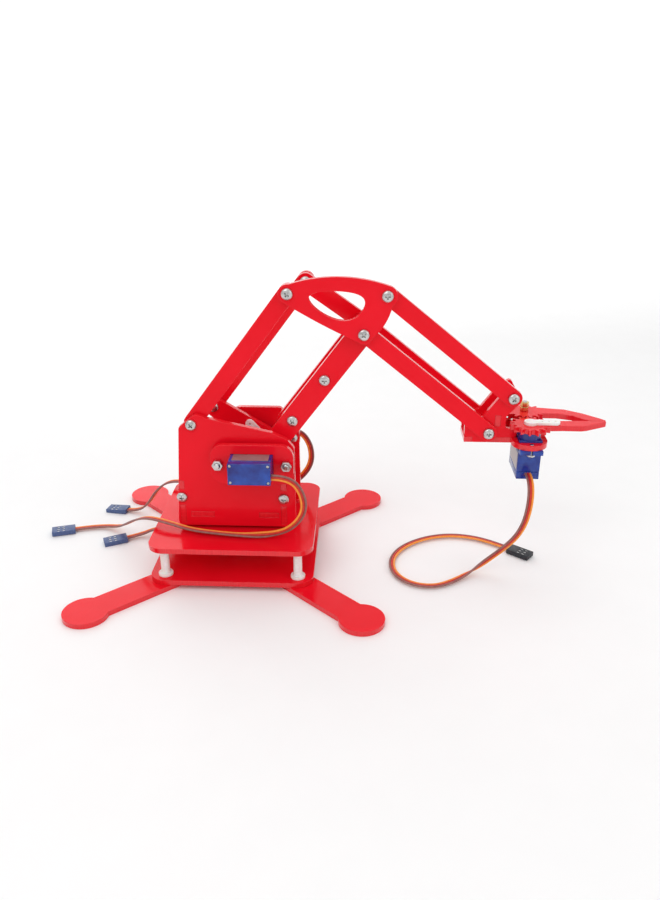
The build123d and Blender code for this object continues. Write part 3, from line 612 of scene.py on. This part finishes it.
def servo_shell(corners):
    """The case in the servo's own frame: three shells with hairline joints, ears, tower and cable slot."""
    under = -BODY_BELOW
    wells = [pin(WELL_RADIUS, under - 1.3 * MM, under + WELL_DEPTH, x, y, 20, "well") for x, y in corners]
    drills = []
    for way in (-1, 1):
        drills.append(pin(EAR_HOLE_RADIUS, -4 * MM, 2 * MM, CASE_MIDDLE + way * EAR_HOLE, 0, 24, "drill"))
        slot = block((3 * MM, EAR_SLOT, 8 * MM), (CASE_MIDDLE + way * (EAR_HOLE + 1.7 * MM), 0, 0))
        drills.append(to_mesh(slot, "slot"))
    ears = to_mesh(block((EAR_LONG, BODY_SHORT, EAR), (CASE_MIDDLE, 0, -EAR / 2), 0.25 * MM), "ears")
    cable = to_mesh(block((2 * MM, 4.2 * MM, 1.4 * MM), (CASE_MIDDLE + 11.4 * MM, 0, -15.9 * MM)), "cable")
    cover, middle, top = [case_block(low, high) for low, high in SHELLS]
    shell = [cut(cover, wells + [cable]), middle, top, case_block(*CORE, 0.7, 0.1), cut(ears, drills)]
    for x, radius in TOWERS:
        radius *= MM
        tower = lathe([(0, TOWER_FOOT), (radius, TOWER_FOOT), (radius, TOWER_TOP - TOWER_ROUND),
                       (radius - TOWER_ROUND, TOWER_TOP), (0, TOWER_TOP)], 48)
        bmesh.ops.translate(tower, vec=(x * MM, 0, 0), verts=tower.verts)
        shell.append(to_mesh(tower, "tower"))
    return shell


def servo_piece(name):
    """Stands for a servo case: shells, corner screws under it, blank foil labels and the works inside."""
    matrix = MOUNTS[name]
    node = name + "_servo_case"
    corners = [(CASE_MIDDLE + x * SCREW_X, y * SCREW_Y) for x in (-1, 1) for y in (-1, 1)]
    bm = bmesh.new()
    for part in servo_shell(corners):
        add(bm, part, matrix)
    mesh = to_mesh(bm, name + "_shell")
    smooth(mesh, 35)
    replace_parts(place(name + "_servo_shell", mesh, BODY_OF[node], "servo_case", CASE), node)
    servo_screws(name, matrix, corners)
    servo_labels(name, matrix)
    servo_works(name, matrix)


def servo_screws(name, matrix, corners):
    """The four screws sunk into the bottom cover."""
    bm = bmesh.new()
    for x, y in corners:
        spot = matrix @ Matrix.Translation((x, y, -BODY_BELOW + 0.6 * MM)) @ Matrix.Rotation(pi, 4, "X")
        add(bm, PAN_HEAD, spot @ Matrix.Diagonal((0.85 * MM, 0.85 * MM, 0.55 * MM, 1)))
    mesh = to_mesh(bm, name + "_case_screws")
    smooth(mesh, 32)
    place(name + "_case_screws", mesh, BODY_OF[name + "_servo_case"], "steel", STEEL)


def servo_labels(name, matrix):
    """A blank foil sticker on each long side."""
    bm = bmesh.new()
    for side in (-1, 1):
        foil = block((19.5 * MM, 0.1 * MM, 9.6 * MM), (CASE_MIDDLE, side * (BODY_SHORT / 2 + 0.02 * MM), -8.6 * MM))
        add(bm, to_mesh(foil, "foil"), matrix)
    mesh = to_mesh(bm, name + "_labels")
    place(name + "_labels", mesh, BODY_OF[name + "_servo_case"], "servo_case", FOIL)


def servo_works(name, matrix):
    """The motor, circuit board and gears that show faintly through the case."""
    bm = bmesh.new()
    can = lathe([(0, -12.5 * MM), (4.6 * MM, -12.5 * MM), (4.9 * MM, -12.2 * MM), (4.9 * MM, -1.8 * MM),
                 (4.6 * MM, -1.5 * MM), (0, -1.5 * MM)], 28)
    add(bm, to_mesh(can, "can"), matrix @ Matrix.Translation((CASE_MIDDLE - 5.4 * MM, 0, 0)), 0)
    board = block((19 * MM, 9.8 * MM, 1.2 * MM), (CASE_MIDDLE, 0, -15.6 * MM), 0.15 * MM)
    add(bm, to_mesh(board, "board"), matrix, 1)
    pot = lathe([(0, -12 * MM), (3.6 * MM, -12 * MM), (3.6 * MM, -2 * MM), (0, -2 * MM)], 24)
    add(bm, to_mesh(pot, "pot"), matrix, 1)
    for x, radius, height in ((-11.3, 2.2, 1.2), (-6.4, 4.2, 2.2), (-1.2, 4.4, 1.2), (-5.4, 3.0, 3.2)):
        gear = lathe([(0, -0.5 * MM), (radius * MM, -0.5 * MM), (radius * MM, 0.4 * MM), (0, 0.4 * MM)], 22)
        add(bm, to_mesh(gear, "gear"), matrix @ Matrix.Translation((x * MM, 0, height * MM)), 2)
    mesh = to_mesh(bm, name + "_works")
    smooth(mesh, 35)
    place(name + "_works", mesh, BODY_OF[name + "_servo_case"], "servo_case", MOTOR, BOARD, NYLON)


# ---------------------------------------------------------------- stage

def soft_light(name, place_at, target, size, power):
    """A white rectangular light, aimed at target."""
    data = bpy.data.lights.new(name, "AREA")
    data.shape, data.size, data.size_y = "RECTANGLE", size[0], size[1]
    data.energy = power
    lamp = bpy.data.objects.new(name, data)
    lamp.location = place_at
    lamp.rotation_euler = (Vector(target) - Vector(place_at)).to_track_quat("-Z", "Y").to_euler()
    bpy.context.scene.collection.objects.link(lamp)


def make_stage():
    """White paper that sweeps up behind the arm, soft lights and an even white world."""
    world = bpy.data.worlds.new("studio")
    bpy.context.scene.world = world
    world.use_nodes = True
    world.node_tree.nodes["Background"].inputs["Color"].default_value = (1, 1, 1, 1)
    world.node_tree.nodes["Background"].inputs["Strength"].default_value = 0.70
    bpy.context.scene.view_settings.view_transform = "Standard"
    bm = bmesh.new()
    profile = [(-4.0, 0.0), (1.6, 0.0)]
    profile += [(1.6 + 1.2 * sin(turn), 1.2 - 1.2 * cos(turn)) for turn in (pi * k / 36 for k in range(1, 19))]
    profile.append((2.8, 5.0))
    rows = [[bm.verts.new((x, y, z)) for x in (-6, 6)] for y, z in profile]
    for before, after in zip(rows, rows[1:]):
        bm.faces.new((before[0], before[1], after[1], after[0]))
    mesh = to_mesh(bm, "floor")
    smooth(mesh, 60)
    floor = bpy.data.objects.new("floor", mesh)
    bpy.context.scene.collection.objects.link(floor)
    made, shader = principled("floor_paper", Roughness=0.8)
    grain = texture(made, "ShaderNodeTexNoise", Scale=40, Detail=3)
    tint(made, grain.outputs["Fac"], shader.inputs["Base Color"], (0.925, 0.925, 0.925), (0.935, 0.935, 0.935))
    mesh.materials.append(made)
    aim = (0.04, 0, 0.07)
    soft_light("key", (-0.35, -0.75, 0.95), aim, (0.7, 0.7), 2.9)
    soft_light("fill", (0.85, -0.55, 0.55), aim, (0.6, 0.6), 1.2)
    soft_light("top", (0.05, 0.25, 1.1), aim, (1.0, 0.8), 2.0)
    soft_light("back", (-0.5, 0.9, 0.6), aim, (0.8, 0.5), 1.6)
    soft_light("wall", (0, 0.6, 1.4), (0, 2.8, 1.2), (4.0, 0.6), 32)


# ---------------------------------------------------------------- the arm

make_camera()
ribbon("near_lead", NEAR_LEAD, (0, 0, -1), 45, 85, SLATE, Vector((0, 1, 0)))
ribbon("far_lead", FAR_LEAD, (0, 0, -1), 45, 85, SLATE, Vector((0, 1, 0)))
ribbon("base_lead", BASE_LEAD, (0, 1, 0), 10, 40, SLATE)
ribbon("gripper_lead", GRIPPER_LEAD, (1, 0, 0), 70, 100, BLACK)

for node, slot in sorted(SLOT_OF.items()):
    if slot == "acrylic":
        sheet_piece(node)
    elif node == "base_standoffs" or node.endswith("_horn"):
        skin(node, 0.15 * MM, NYLON)
    elif "nut" in node:
        skin(node, 0.28 * MM, BRASS if slot == "brass" else STEEL)
    elif node.endswith("_servo_shaft"):
        skin(node, 0.12 * MM, BRASS)
    elif slot == "steel":
        screw_piece(node, STEEL)

for name in MOUNTS:
    servo_piece(name)

make_stage()
